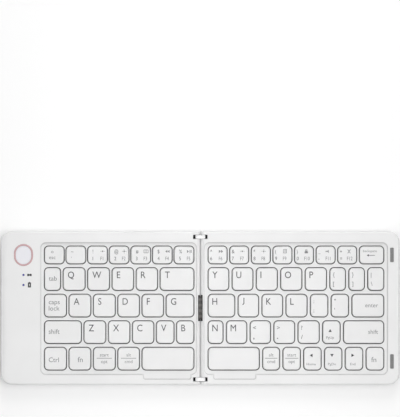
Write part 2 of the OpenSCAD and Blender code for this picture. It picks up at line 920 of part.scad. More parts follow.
module button_ring() {
    color("rosybrown") on_side("left") translate([button_x, button_y, 0]) difference() {
        bar_y(ring_d, ring_w, rim_z - ring_seat, rim_z);
        bar_y(ring_d - 2 * ring_line, ring_w - 2 * ring_line, rim_z - ring_seat - over, rim_z + over);
    }
}

module status_lights() {
    color("slateblue") on_side("left") light_places() {
        translate([0, 0, board_top_z]) cylinder(r = guide_r, h = deck_z - board_top_z);
        translate([0, 0, board_top_z]) cylinder(d = light_d, h = rim_z - board_top_z);
    }
}

// Nodes of the hinge

module hinge_link_back() {
    color("whitesmoke") hinge_link();
}

module hinge_link_front() {
    color("whitesmoke") mirror([0, 1, 0]) hinge_link();
}

module flat_cable() {
    z = pin_z - cable_t / 2;
    color("peru") {
        block(-cable_reach, cable_reach, -cable_w / 2, cable_w / 2, z, z + cable_t);
        for (x = [-cable_reach, cable_reach - cable_t])
            block(x, x + cable_t, -cable_w / 2, cable_w / 2, membrane_z, z + cable_t);
    }
}

// Keys, each by itself where the row has room for it and otherwise a group of one row

module escape_key() { keys("left", 0, 0, 0); }
module left_number_keys() { keys("left", 0, 1, 6); }
module tab_key() { keys("left", 1, 0, 0); }
module left_upper_keys() { keys("left", 1, 1, 5); }
module caps_lock_key() { keys("left", 2, 0, 0); }
module left_home_keys() { keys("left", 2, 1, 5); }
module left_shift_key() { keys("left", 3, 0, 0); }
module left_lower_keys() { keys("left", 3, 1, 5); }
module control_key() { keys("left", 4, 0, 0); }
module left_function_key() { keys("left", 4, 1, 1); }
module left_start_key() { keys("left", 4, 2, 2); }
module left_alt_key() { keys("left", 4, 3, 3); }
module left_space_key() { keys("left", 4, 4, 4); }
module right_number_keys() { keys("right", 0, 0, 6); }
module backspace_key() { keys("right", 0, 7, 7); }
module right_upper_keys() { keys("right", 1, 0, 7); }
module right_home_keys() { keys("right", 2, 0, 5); }
module enter_key() { keys("right", 2, 6, 6); }
module right_lower_keys() { keys("right", 3, 0, 4); }
module up_key() { keys("right", 3, 5, 5); }
module right_shift_key() { keys("right", 3, 6, 6); }
module right_space_key() { keys("right", 4, 0, 0); }
module right_alt_key() { keys("right", 4, 1, 1); }
module right_start_key() { keys("right", 4, 2, 2); }
module left_arrow_key() { keys("right", 4, 3, 3); }
module down_key() { keys("right", 4, 4, 4); }
module right_arrow_key() { keys("right", 4, 5, 5); }
module right_function_key() { keys("right", 4, 6, 6); }

right_bottom_shell();
right_bezel();
right_key_deck();
right_base_plate();
right_membrane();
right_domes();
right_scissors();
right_feet();
closing_bumpers();
right_screws();
right_cable_grommet();
right_hinge_pins();
left_bottom_shell();
left_bezel();
left_key_deck();
left_base_plate();
left_membrane();
left_domes();
left_scissors();
left_feet();
left_screws();
left_cable_grommet();
left_hinge_pins();
circuit_board();
battery();
charging_socket();
connect_button();
button_ring();
status_lights();
hinge_link_front();
hinge_link_back();
flat_cable();
escape_key();
left_number_keys();
tab_key();
left_upper_keys();
caps_lock_key();
left_home_keys();
left_shift_key();
left_lower_keys();
control_key();
left_function_key();
left_start_key();
left_alt_key();
left_space_key();
right_number_keys();
backspace_key();
right_upper_keys();
right_home_keys();
enter_key();
right_lower_keys();
up_key();
right_shift_key();
right_space_key();
right_alt_key();
right_start_key();
left_arrow_key();
down_key();
right_arrow_key();
right_function_key();
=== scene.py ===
"""Looks of the folding keyboard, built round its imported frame. Lengths are in metres."""
import json
import math

import bmesh
import bpy
from mathutils import Matrix, Vector


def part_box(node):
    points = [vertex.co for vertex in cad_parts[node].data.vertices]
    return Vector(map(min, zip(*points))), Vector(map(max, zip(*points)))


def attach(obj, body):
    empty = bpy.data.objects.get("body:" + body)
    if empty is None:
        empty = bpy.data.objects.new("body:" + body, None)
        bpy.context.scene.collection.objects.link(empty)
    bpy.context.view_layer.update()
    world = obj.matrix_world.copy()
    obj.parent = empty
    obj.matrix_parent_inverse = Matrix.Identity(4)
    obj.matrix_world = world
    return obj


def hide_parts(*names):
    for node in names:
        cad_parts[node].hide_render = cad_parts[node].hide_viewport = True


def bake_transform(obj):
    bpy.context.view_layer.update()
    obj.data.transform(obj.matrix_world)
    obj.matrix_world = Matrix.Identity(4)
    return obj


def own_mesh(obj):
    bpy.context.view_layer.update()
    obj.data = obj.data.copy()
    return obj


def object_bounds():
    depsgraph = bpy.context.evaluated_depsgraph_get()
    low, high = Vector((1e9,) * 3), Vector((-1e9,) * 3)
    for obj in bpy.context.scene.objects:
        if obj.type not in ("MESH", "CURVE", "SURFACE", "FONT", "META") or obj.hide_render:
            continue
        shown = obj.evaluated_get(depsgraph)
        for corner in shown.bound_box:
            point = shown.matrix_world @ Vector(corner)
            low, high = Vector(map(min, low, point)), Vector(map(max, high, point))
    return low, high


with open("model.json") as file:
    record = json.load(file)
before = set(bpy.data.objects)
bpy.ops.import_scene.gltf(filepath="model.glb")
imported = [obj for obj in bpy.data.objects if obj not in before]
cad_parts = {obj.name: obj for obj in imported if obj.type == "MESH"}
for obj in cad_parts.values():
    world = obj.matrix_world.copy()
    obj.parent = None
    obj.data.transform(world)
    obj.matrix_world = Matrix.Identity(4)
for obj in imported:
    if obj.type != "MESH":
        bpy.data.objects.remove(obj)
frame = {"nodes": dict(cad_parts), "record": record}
cad_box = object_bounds()
NODES = frame["nodes"]
MM = 0.001

# The photograph's frame, where the middle of the open keyboard lies in it, and its scale
IMAGE_W, IMAGE_H = 400, 417
MIDDLE_X, MIDDLE_Y = 200.35, 308.2
METRES_PER_PIXEL = 0.7675 * MM
CAMERA_HEIGHT = 1.6
SENSOR = 0.036

# Brightness of the world, and how much the floor is lifted where it is looked at: near and far
WORLD_LEVEL = 0.32
NEAR_LIFT, FAR_LIFT = 0.12, 0.5
NEAR, FAR = 0.4, 2.4
FLOOR_REACH = 3.0

# Keycaps
FOOT_ROUND = 0.08 * MM
TOP_ROUND = 0.55 * MM
SIDE_TAPER = 0.2 * MM
DISH = 0.09 * MM
SKIRT = 1.0 * MM
CORNER = 3.0 * MM
CAP_TOP = 1.2 * MM

# Steps in which a corner and a small rounding turn through a right angle
CORNER_STEPS = 8
ROUND_STEPS = 4

# Printed marks; a capital's height is a share of the size of its type
PRINT_LIFT = 0.03 * MM
PRINT_THICK = 0.02 * MM
CAPITAL_SHARE = 0.72

# Key mechanism: first the share of a dome's radius that its top keeps
DOME_TOP_SHARE = 0.6
DOME_SIDES = 24
LINK_ROUND = 0.08 * MM

# Cable and status lights
CABLE_T = 0.15 * MM
CABLE_DROOP = 1.9 * MM
CABLE_BEND = 0.25 * MM
RIBBON_STEPS = 6
LIGHT_D = 2.8 * MM
PANEL_MARK_GAP = 3.2 * MM

# How close the corners of two faces of a CAD mesh lie to be one corner
WELD = 1e-6


# Meshes

def new_object(name, mesh_data):
    obj = bpy.data.objects.new(name, mesh_data)
    bpy.context.scene.collection.objects.link(obj)
    return obj


def object_from_bmesh(name, bm, smooth=True):
    data = bpy.data.meshes.new(name)
    bmesh.ops.recalc_face_normals(bm, faces=bm.faces)
    bm.to_mesh(data)
    bm.free()
    for polygon in data.polygons:
        polygon.use_smooth = smooth
    return new_object(name, data)


def quarter_turn(steps):
    """Angles from 0 to a right angle in equal steps."""
    return [math.radians(90 * k / steps) for k in range(steps + 1)]


def rounded_outline(x0, x1, y0, y1, radius, steps=CORNER_STEPS):
    """Points of a rounded rectangle, counterclockwise from the right end of its front edge."""
    points = []
    for x, y, start in ((x1, y0, -90), (x1, y1, 0), (x0, y1, 90), (x0, y0, 180)):
        cx = x - math.copysign(radius, x - (x0 + x1) / 2)
        cy = y - math.copysign(radius, y - (y0 + y1) / 2)
        for i in range(steps + 1):
            a = math.radians(start + 90 * i / steps)
            points.append((cx + radius * math.cos(a), cy + radius * math.sin(a)))
    return points


def loft(bm, loops):
    """Joins loops of points in order with faces and closes the ends with fans."""
    rings = [[bm.verts.new(p) for p in loop] for loop in loops]
    count = len(rings[0])
    for lower, upper in zip(rings, rings[1:]):
        for i in range(count):
            j = (i + 1) % count
            bm.faces.new((lower[i], lower[j], upper[j], upper[i]))
    for ring in (rings[0], rings[-1]):
        hub = bm.verts.new(sum((v.co for v in ring), Vector()) / count)
        for i in range(count):
            bm.faces.new((ring[i], ring[(i + 1) % count], hub))


def corners(points):
    """Low and high corner of the box round some points."""
    low = Vector([min(c[k] for c in points) for k in range(3)])
    high = Vector([max(c[k] for c in points) for k in range(3)])
    return low, high


def welded(obj):
    """Mesh of a CAD node as a bmesh, its faces joined at their corners."""
    bm = bmesh.new()
    bm.from_mesh(obj.data)
    bmesh.ops.remove_doubles(bm, verts=bm.verts, dist=WELD)
    return bm


def separate_solids(bm):
    """Vertices of each separate solid, in the order in which the mesh holds them."""
    bm.verts.index_update()
    found, seen = [], set()
    for first in bm.verts:
        if first in seen:
            continue
        members, stack = {first}, [first]
        while stack:
            vert = stack.pop()
            for edge in vert.link_edges:
                other = edge.other_vert(vert)
                if other not in members:
                    members.add(other)
                    stack.append(other)
        seen |= members
        found.append(sorted(members, key=lambda v: v.index))
    return found


def islands(obj):
    """Boxes of the separate solids of a CAD node, as (low, high) corners, from left to right."""
    bm = welded(obj)
    boxes = [corners([v.co for v in group]) for group in separate_solids(bm)]
    bm.free()
    return sorted(boxes, key=lambda b: b[0].x)


def solids_of(obj):
    """Meshes of the separate solids of a CAD node, each as its own bmesh."""
    bm = welded(obj)
    bmesh.ops.dissolve_limit(bm, angle_limit=math.radians(1), verts=bm.verts, edges=bm.edges)
    bm.faces.index_update()
    found = []
    for group in separate_solids(bm):
        solid = bmesh.new()
        copies = {vert: solid.verts.new(vert.co) for vert in group}
        faces = {face for vert in group for face in vert.link_faces}
        for face in sorted(faces, key=lambda f: f.index):
            solid.faces.new([copies[v] for v in face.verts])
        found.append(solid)
    bm.free()
    return found


# Materials

def node_material(name, colour, roughness, metallic=0.0, specular=0.5):
    material = bpy.data.materials.new(name)
    material.use_nodes = True
    nodes = material.node_tree.nodes
    shader = nodes["Principled BSDF"]
    shader.inputs["Base Color"].default_value = (*colour, 1)
    shader.inputs["Roughness"].default_value = roughness
    shader.inputs["Metallic"].default_value = metallic
    shader.inputs["Specular IOR Level"].default_value = specular
    return material, nodes, material.node_tree.links, shader


def object_coordinates(nodes, links, scale):
    """Coordinates of the object in metres, stretched by scale on each axis."""
    source = nodes.new("ShaderNodeTexCoord")
    mapping = nodes.new("ShaderNodeMapping")
    mapping.inputs["Scale"].default_value = scale
    links.new(source.outputs["Object"], mapping.inputs["Vector"])
    return mapping.outputs["Vector"]


def noise(nodes, links, vector, scale, detail=2.0, roughness=0.5):
    texture = nodes.new("ShaderNodeTexNoise")
    texture.inputs["Scale"].default_value = scale
    texture.inputs["Detail"].default_value = detail
    texture.inputs["Roughness"].default_value = roughness
    links.new(vector, texture.inputs["Vector"])
    return texture.outputs["Fac"]


def ramp(nodes, links, factor, low, high, low_at=0.3, high_at=0.7):
    """Colour that runs from low to high as the factor does."""
    blend = nodes.new("ShaderNodeValToRGB")
    blend.color_ramp.elements[0].position = low_at
    blend.color_ramp.elements[0].color = (*low, 1)
    blend.color_ramp.elements[1].position = high_at
    blend.color_ramp.elements[1].color = (*high, 1)
    links.new(factor, blend.inputs["Fac"])
    return blend.outputs["Color"]


def span(nodes, links, factor, low, high, start=0.0, end=1.0):
    """Number that runs from low to high as the factor goes from start to end."""
    remap = nodes.new("ShaderNodeMapRange")
    remap.inputs["From Min"].default_value = start
    remap.inputs["From Max"].default_value = end
    remap.inputs["To Min"].default_value = low
    remap.inputs["To Max"].default_value = high
    links.new(factor, remap.inputs["Value"])
    return remap.outputs["Result"]


def bump(nodes, links, shader, height, distance, strength):
    node = nodes.new("ShaderNodeBump")
    node.inputs["Distance"].default_value = distance
    node.inputs["Strength"].default_value = strength
    links.new(height, node.inputs["Height"])
    links.new(node.outputs["Normal"], shader.inputs["Normal"])


# Darkest share of the colour that painted shade leaves in a groove
PAINTED_SHADE_TONE = (0.7, 0.7, 0.7)


def painted_crevice_shade(nodes, links, colour, reach):
    """Colour darkened in grooves and close to walls: painted shade, read from an ambient occlusion
    measure.
    """
    shade = nodes.new("ShaderNodeAmbientOcclusion")
    shade.samples = 8
    shade.inputs["Distance"].default_value = reach
    blend = nodes.new("ShaderNodeMix")
    blend.data_type = "RGBA"
    blend.blend_type = "MULTIPLY"
    blend.inputs["Factor"].default_value = 1.0
    links.new(colour, blend.inputs["A"])
    tone = ramp(nodes, links, shade.outputs["AO"], PAINTED_SHADE_TONE, (1, 1, 1), 0.35, 0.95)
    links.new(tone, blend.inputs["B"])
    return blend.outputs["Result"]


def moulded_plastic(name, colour, roughness, grain_per_metre, grain_height, drift=0.02, reach=0.0):
    """Moulded plastic: a fine spark-eroded grain, uneven gloss and a slow drift in its colour; with a
    reach, also painted shade in grooves and near walls.
    """
    material, nodes, links, shader = node_material(name, colour, roughness, specular=0.35)
    vector = object_coordinates(nodes, links, (1, 1, 1))
    cloud = noise(nodes, links, vector, 35.0, 2.0)
    lighter = tuple(min(1.0, c * (1 + drift)) for c in colour)
    darker = tuple(c * (1 - drift) for c in colour)
    tint = ramp(nodes, links, cloud, darker, lighter)
    # With a reach, painted shade darkens the colour in grooves and near walls
    if reach:
        tint = painted_crevice_shade(nodes, links, tint, reach)
    links.new(tint, shader.inputs["Base Color"])
    grain = noise(nodes, links, vector, grain_per_metre, 3.0, 0.6)
    gloss = span(nodes, links, grain, roughness - 0.06, roughness + 0.06)
    links.new(gloss, shader.inputs["Roughness"])
    bump(nodes, links, shader, grain, grain_height, 0.6)
    return material


def rubber(name, colour):
    """Matt rubber with a dusty bloom and a pebbled skin."""
    material, nodes, links, shader = node_material(name, colour, 0.75, specular=0.3)
    vector = object_coordinates(nodes, links, (1, 1, 1))
    dust = noise(nodes, links, vector, 900.0, 4.0, 0.7)
    lighter = tuple(c * 1.25 + 0.004 for c in colour)
    darker = tuple(c * 0.85 for c in colour)
    links.new(ramp(nodes, links, dust, darker, lighter), shader.inputs["Base Color"])
    cells = nodes.new("ShaderNodeTexVoronoi")
    cells.inputs["Scale"].default_value = 2500.0
    links.new(vector, cells.inputs["Vector"])
    bump(nodes, links, shader, cells.outputs["Distance"], 0.00003, 0.5)
    return material


def turned_metal(name, colour, roughness, stretch):
    """Metal with fine tool marks that run along one axis."""
    material, nodes, links, shader = node_material(name, colour, roughness, metallic=1.0)
    vector = object_coordinates(nodes, links, stretch)
    marks = noise(nodes, links, vector, 1.0, 5.0, 0.65)
    gloss = span(nodes, links, marks, roughness - 0.1, roughness + 0.12)
    links.new(gloss, shader.inputs["Roughness"])
    lighter = tuple(min(1.0, c * 1.08) for c in colour)
    darker = tuple(c * 0.92 for c in colour)
    links.new(ramp(nodes, links, marks, darker, lighter), shader.inputs["Base Color"])
    bump(nodes, links, shader, marks, 0.000008, 0.4)
    return material


def anodised_ring():
    """Rose anodised aluminium: satin, faintly mottled where the dye took unevenly."""
    darker, lighter = (0.41, 0.262, 0.271), (0.5, 0.33, 0.34)
    material, nodes, links, shader = node_material("rose_anodised", lighter, 0.34, metallic=0.5)
    vector = object_coordinates(nodes, links, (1, 1, 1))
    mottle = noise(nodes, links, vector, 1400.0, 4.0, 0.6)
    links.new(ramp(nodes, links, mottle, darker, lighter), shader.inputs["Base Color"])
    links.new(span(nodes, links, mottle, 0.28, 0.42), shader.inputs["Roughness"])
    bump(nodes, links, shader, mottle, 0.00001, 0.4)
    return material


def light_guide():
    """Frosted guide of a status light, blue and finely clouded under a clear coat."""
    darker, lighter = (0.03, 0.03, 0.19), (0.06, 0.06, 0.33)
    material, nodes, links, shader = node_material("status_light", lighter, 0.3)
    vector = object_coordinates(nodes, links, (1, 1, 1))
    frost = noise(nodes, links, vector, 3000.0, 3.0)
    links.new(ramp(nodes, links, frost, darker, lighter), shader.inputs["Base Color"])
    shader.inputs["Coat Weight"].default_value = 0.4
    shader.inputs["Coat Roughness"].default_value = 0.1
    bump(nodes, links, shader, frost, 0.00001, 0.3)
    return material


def ink(name, colour):
    """Pad-printed ink, a little uneven in its cover."""
    material, nodes, links, shader = node_material(name, colour, 0.55, specular=0.3)
    vector = object_coordinates(nodes, links, (1, 1, 1))
    cover = noise(nodes, links, vector, 2600.0, 3.0, 0.6)
    lighter = tuple(min(1.0, c * 1.18) for c in colour)
    darker = tuple(c * 0.88 for c in colour)
    links.new(ramp(nodes, links, cover, darker, lighter), shader.inputs["Base Color"])
    return material


def circuit_film(name, base, track, pitch):
    """Printed film or board: conductor lines at a pitch, which waver a little."""
    material, nodes, links, shader = node_material(name, base, 0.4)
    vector = object_coordinates(nodes, links, (1, 1, 1))
    wave = nodes.new("ShaderNodeTexWave")
    wave.bands_direction = "Y"
    wave.inputs["Scale"].default_value = 1 / (pitch * 20)
    wave.inputs["Distortion"].default_value = 1.5
    wave.inputs["Detail"].default_value = 1.0
    links.new(vector, wave.inputs["Vector"])
    lines = ramp(nodes, links, wave.outputs["Fac"], base, track, 0.55, 0.62)
    links.new(lines, shader.inputs["Base Color"])
    bump(nodes, links, shader, wave.outputs["Fac"], 0.00001, 0.3)
    return material


MATERIALS = {
    "case": moulded_plastic("case_plastic", (0.83, 0.83, 0.83), 0.46, 5200.0, 0.000012),
    "case_floor": moulded_plastic("floor_plastic", (0.81, 0.81, 0.81), 0.5, 4200.0, 0.00002),
    # The deck's and keycaps' reach paints shade into the key gaps and the groove round the deck
    "deck": moulded_plastic("deck_plastic", (0.8, 0.8, 0.8), 0.55, 6000.0, 0.000015, reach=1.0 * MM),
    "keycap": moulded_plastic("keycap_plastic", (0.81, 0.81, 0.81), 0.42, 7000.0, 0.000008,
                              reach=0.8 * MM),
    "link": moulded_plastic("link_plastic", (0.95, 0.95, 0.95), 0.25, 5000.0, 0.000004, 0.01),
    "link_steel": turned_metal("link_steel", (0.045, 0.045, 0.047), 0.5, (1500, 200, 1500)),
    "button": moulded_plastic("button_plastic", (0.82, 0.82, 0.86), 0.35, 6000.0, 0.000006),
    "scissor": moulded_plastic("scissor_plastic", (0.82, 0.82, 0.79), 0.4, 5000.0, 0.00001),
    "dome": moulded_plastic("dome_rubber", (0.7, 0.7, 0.68), 0.6, 3000.0, 0.00001),
    "foot": rubber("foot_rubber", (0.035, 0.035, 0.038)),
    "bumper": rubber("bumper_rubber", (0.21, 0.21, 0.21)),
    "grommet": rubber("grommet_rubber", (0.02, 0.02, 0.02)),
    "pin": turned_metal("pin_metal", (0.16, 0.16, 0.165), 0.4, (1500, 200, 1500)),
    "screw": turned_metal("screw_metal", (0.4, 0.4, 0.4), 0.35, (2000, 2000, 300)),
    "plate": turned_metal("plate_metal", (0.1, 0.1, 0.105), 0.45, (60, 2500, 60)),
    "socket": turned_metal("socket_metal", (0.62, 0.62, 0.62), 0.3, (1500, 150, 1500)),
    "battery": turned_metal("battery_foil", (0.55, 0.55, 0.55), 0.45, (120, 120, 120)),
    # The film's near-black colour is painted shade that darkens the gaps round the keys
    "membrane": circuit_film("membrane_film", (0.028, 0.028, 0.03), (0.05, 0.05, 0.055), 0.0012),
    "board": circuit_film("board_mask", (0.02, 0.2, 0.08), (0.05, 0.32, 0.14), 0.0008),
    "cable": circuit_film("cable_film", (0.12, 0.115, 0.11), (0.2, 0.19, 0.18), 0.0007),
    "ring": anodised_ring(),
    "light": light_guide(),
    "ink": ink("legend_ink", (0.11, 0.11, 0.12)),
    "pale_ink": ink("pale_legend_ink", (0.24, 0.24, 0.25)),
    "dark_ink": ink("dark_mark_ink", (0.05, 0.05, 0.055)),
}


def paint(obj, slot):
    obj.data.materials.clear()
    obj.data.materials.append(MATERIALS[slot])


# Radius of the moulded or broken edges of each material's nodes, in millimetres
EDGE_WIDTHS = {
    "case": 0.16, "case_floor": 0.2, "deck": 0.1, "link": 0.25, "pin": 0.12, "foot": 0.3,
    "bumper": 0.35, "ring": 0.16, "button": 0.2, "light": 0.08, "socket": 0.06, "grommet": 0.06,
    "screw": 0.08, "battery": 0.3, "board": 0.05, "plate": 0.05,
}
SHARP_ANGLE = 35


def dress_cad_nodes():
    """Gives each CAD node its material, and its edges their small radius."""
    slots = {s["node"]: s["material_slot"] for s in frame["record"]["subparts"]}
    for name, obj in NODES.items():
        slot = slots[name]
        paint(obj, "link_steel" if slot == "link" else slot)
        if slot not in EDGE_WIDTHS:
            continue
        weld = obj.modifiers.new("weld", "WELD")
        weld.merge_threshold = WELD
        bevel = obj.modifiers.new("edges", "BEVEL")
        bevel.width = EDGE_WIDTHS[slot] * MM
        bevel.segments = 3
        bevel.limit_method = "ANGLE"
        bevel.angle_limit = math.radians(SHARP_ANGLE)
        bevel.use_clamp_overlap = True
        normals = obj.modifiers.new("normals", "WEIGHTED_NORMAL")
        normals.keep_sharp = True


# Keycaps

def dish_depth(x, y, low, high):
    """How far the top of a key has sunk at a point."""
    u = (2 * x - low.x - high.x) / (high.x - low.x)
    v = (2 * y - low.y - high.y) / (high.y - low.y)
    return DISH * max(0.0, 1 - u * u) * max(0.0, 1 - v * v)


def add_keycap(bm, low, high):
    """One keycap: hollow skirt, rounded shoulder and a slightly dished top."""
    def loop(inset, z, dished=False):
        flat = rounded_outline(low.x + inset, high.x - inset, low.y + inset, high.y - inset,
                               max(CORNER - inset, 0.3 * MM))
        return [(x, y, z - (dish_depth(x, y, low, high) if dished else 0)) for x, y in flat]

    top = high.z
    under = top - CAP_TOP
    loops = [loop(SKIRT, under), loop(SKIRT, low.z), loop(FOOT_ROUND, low.z),
             loop(0, low.z + FOOT_ROUND)]
    for i, a in enumerate(quarter_turn(ROUND_STEPS)):
        inset = SIDE_TAPER + TOP_ROUND * (1 - math.cos(a))
        loops.append(loop(inset, top - TOP_ROUND * (1 - math.sin(a)), dished=i == ROUND_STEPS))
    middle = (low + high) / 2
    rim = loops[-1]
    for share in (0.9, 0.7, 0.45, 0.2):
        ring = []
        for x, y, _ in rim:
            px = middle.x + (x - middle.x) * share
            py = middle.y + (y - middle.y) * share
            ring.append((px, py, top - dish_depth(px, py, low, high)))
        loops.append(ring)
    loft(bm, loops)


def build_keycaps(node, body):
    boxes = islands(NODES[node])
    bm = bmesh.new()
    for low, high in boxes:
        add_keycap(bm, low, high)
    caps = object_from_bmesh(node + "_caps", bm)
    paint(caps, "keycap")
    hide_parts(node)
    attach(caps, body)
    return boxes


# Legends

def text_mesh(text, height, slim):
    """Mesh of a word whose capitals have the given height, its line starting at the origin.

    A capital J is shortened to stand on the line as the other capitals do."""
    curve = bpy.data.curves.new("word", "FONT")
    curve.body = text
    curve.size = height / CAPITAL_SHARE
    curve.extrude = PRINT_THICK / 2
    curve.resolution_u = 3
    holder = new_object("word", curve)
    graph = bpy.context.evaluated_depsgraph_get()
    data = bpy.data.meshes.new_from_object(holder.evaluated_get(graph))
    bpy.data.objects.remove(holder)
    bpy.data.curves.remove(curve)
    low = min(v.co.x for v in data.vertices)
    data.transform(Matrix.Diagonal((slim, 1, 1, 1)) @ Matrix.Translation((-low, 0, 0)))
    if text == "J":
        foot = min(v.co.y for v in data.vertices)
        top = max(v.co.y for v in data.vertices)
        shorten = Matrix.Diagonal((1, height / (top - foot), 1, 1))
        data.transform(shorten @ Matrix.Translation((0, -foot, 0)))
    return data


class Legends:
    """Collects the printed marks of one body and makes one piece of each ink."""

    def __init__(self, name, body, slot="keycap", dish=1):
        self.name = name
        self.body = body
        self.slot = slot
        self.dish = dish
        self.inks = {}

    def level(self, x, y, key):
        """Height of the printed surface at a point."""
        low, high = key
        return high.z - self.dish * dish_depth(x, y, low, high) + PRINT_LIFT

    def sheet(self, ink_name):
        return self.inks.setdefault(ink_name, bmesh.new())

    def word(self, text, x, y, height, key, ink_name, slim=1.0, centred=False, from_right=False):
        """Word whose left end, middle or right end stands at x, on the line at y."""
        data = text_mesh(text, height, slim)
        xs = [v.co.x for v in data.vertices]
        if centred:
            x -= (min(xs) + max(xs)) / 2
        elif from_right:
            x -= max(xs)
        for v in data.vertices:
            v.co.x += x
            v.co.y += y
            v.co.z += self.level(v.co.x, v.co.y, key)
        self.sheet(ink_name).from_mesh(data)
        bpy.data.meshes.remove(data)

    def shape(self, points, key, ink_name):
        """Flat printed shape from its outline."""
        bm = self.sheet(ink_name)
        rings = []
        for lift in (-PRINT_THICK / 2, PRINT_THICK / 2):
            rings.append([bm.verts.new((x, y, self.level(x, y, key) + lift)) for x, y in points])
        count = len(points)
        bm.faces.new(list(reversed(rings[0])))
        bm.faces.new(rings[1])
        for i in range(count):
            j = (i + 1) % count
            bm.faces.new((rings[0][i], rings[0][j], rings[1][j], rings[1][i]))

    def finish(self):
        for ink_name, bm in self.inks.items():
            bmesh.ops.remove_doubles(bm, verts=bm.verts, dist=1e-7)
            print_piece = object_from_bmesh(f"{self.name}_{ink_name}", bm, smooth=False)
            paint(print_piece, ink_name)
            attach(print_piece, self.body)


# Heights of the capitals of each kind of mark, and the unit in which the small signs are drawn
LETTER = 5.3 * MM
MARK = 2.9 * MM
PAIR_MARK = MARK * 1.1
POINT_MARK = MARK * 1.7
WORD = 3.7 * MM
RIGHT_WORD = WORD * 0.88
FUNCTION_WORD = 1.1 * WORD
SMALL_WORD = 2.65 * MM
TINY_WORD = 1.9 * MM
ICON_UNIT = 1.2 * MM

# Places of the marks: indents from a key's left edge, shifts to its left from its middle, and drops
# from its back edge to the line of a mark; the words' drops and rises are from the key's middle
LETTER_INDENT = {"left": 3.6 * MM, "right": 3.1 * MM}
LETTER_DROP = 2.5 * MM
PAIR_INDENT = 2.2 * MM
PAIR_DROPS = (6.6 * MM, 13.6 * MM)
NUMBER_INDENT = {"left": (3.8 * MM, 9.8 * MM), "right": (1.5 * MM, 8.2 * MM)}
NUMBER_DRIFT = 0.012
NUMBER_DROPS = (5.3 * MM, 10.7 * MM)
WORD_INDENT = 3.3 * MM
WORD_PITCH = 4.9 * MM
RIGHT_WORD_INDENT = 4.4 * MM
RIGHT_WORD_DROP = 1.2 * MM
FUNCTION_WORD_PLACE = {"left": 0.3 * MM, "right": -1.0 * MM}
FUNCTION_WORD_DROP = 2.5 * MM
SPLIT_WORD_RISES = (1.8 * MM, -3.3 * MM)
SPLIT_LINE = (0.25 * MM, 0.6 * MM)
SPLIT_LINE_REACH = 5.8 * MM
SPLIT_LINE_MARGIN = 1.6 * MM
ARROW_SHIFT = 1.0 * MM
ARROW_DROP, UP_ARROW_DROP = 5.9 * MM, 7.3 * MM
ARROW_WORD_DROP = 13.5 * MM
BACKSPACE_SHIFT = 1.3 * MM
BACKSPACE_DROPS = (4.4 * MM, 6.9 * MM)

# Letters, symbols and words of each node's keys, from left to right. A pair stands upper over lower,
# a number key holds its symbol, digit, function and sign, and the left words come with their drop
# below the middle of the key.
LETTERS = {
    "left_upper_keys": "QWERT", "left_home_keys": "ASDFG", "left_lower_keys": "ZXCVB",
    "right_upper_keys": ["Y", "U", "I", "O", "P", ("{", "["), ("}", "]"), ("|", "\\")],
    "right_home_keys": ["H", "J", "K", "L", (":", ";"), ("\"", "'")],
    "right_lower_keys": ["N", "M", ("<", ","), (">", "."), ("?", "/")],
}
PAIR_INKS = {"<": "dark_ink", ">": "dark_ink", "?": "dark_ink", "\"": "ink"}
NUMBER_KEYS = {
    "left_number_keys": [("~", "`", "", ""), ("!", "1", "F1", "dim"), ("@", "2", "F2", "bright"),
                         ("#", "3", "F3", "grid"), ("$", "4", "F4", "back"), ("%", "5", "F5", "play")],
    "right_number_keys": [("^", "6", "F6", "next"), ("&", "7", "F7", "dim"),
                          ("*", "8", "F8", "bright"), ("(", "9", "F9", "pages"),
                          (")", "0", "F10", "lock"), ("_", "-", "F11", "mute"),
                          ("+", "=", "F12", "cut")],
}
LEFT_WORDS = {
    "tab_key": (["tab"], 1.2 * MM), "caps_lock_key": (["caps", "lock"], 1.3 * MM),
    "left_shift_key": (["shift"], 1.15 * MM), "control_key": (["Ctrl"], 2.5 * MM),
}
RIGHT_WORDS = {"enter_key": "enter", "right_shift_key": "shift"}
FUNCTION_WORDS = {"left_function_key": "fn", "right_function_key": "fn"}
SPLIT_WORDS = {
    "left_start_key": ("start", "opt"), "left_alt_key": ("alt", "cmd"),
    "right_alt_key": ("alt", "cmd"), "right_start_key": ("start", "opt"),
}

# Arrowhead that points right and arrow that points left, as outlines in millimetres
ARROWHEAD = [(-1.05, -1.3), (1.15, 0), (-1.05, 1.3)]
BACK_ARROW = [(-2.5, 0), (-0.9, -0.9), (-0.9, -0.2), (3.7, -0.2), (3.7, 0.2), (-0.9, 0.2),
              (-0.9, 0.9)]
UPWARD = 90
ARROWS = {
    "up_key": (UPWARD, "PgUp"), "left_arrow_key": (180, "Home"),
    "down_key": (270, "PgDn"), "right_arrow_key": (0, "End"),
}


def side_of(key):
    """Half of the keyboard that a key is on."""
    return "left" if key[1].x < 0 else "right"


def letter(legends, text, key):
    low, high = key
    left = low.x + LETTER_INDENT[side_of(key)]
    legends.word(text, left, high.y - LETTER_DROP - LETTER, LETTER, key, "dark_ink", slim=0.88)


def pair(legends, upper, lower, key):
    low, high = key
    x = low.x + PAIR_INDENT
    ink_name = PAIR_INKS.get(upper, "pale_ink")
    lower_height = POINT_MARK if lower in ",." else PAIR_MARK
    legends.word(upper, x, high.y - PAIR_DROPS[0], PAIR_MARK, key, ink_name)
    legends.word(lower, x, high.y - PAIR_DROPS[1], lower_height, key, ink_name)


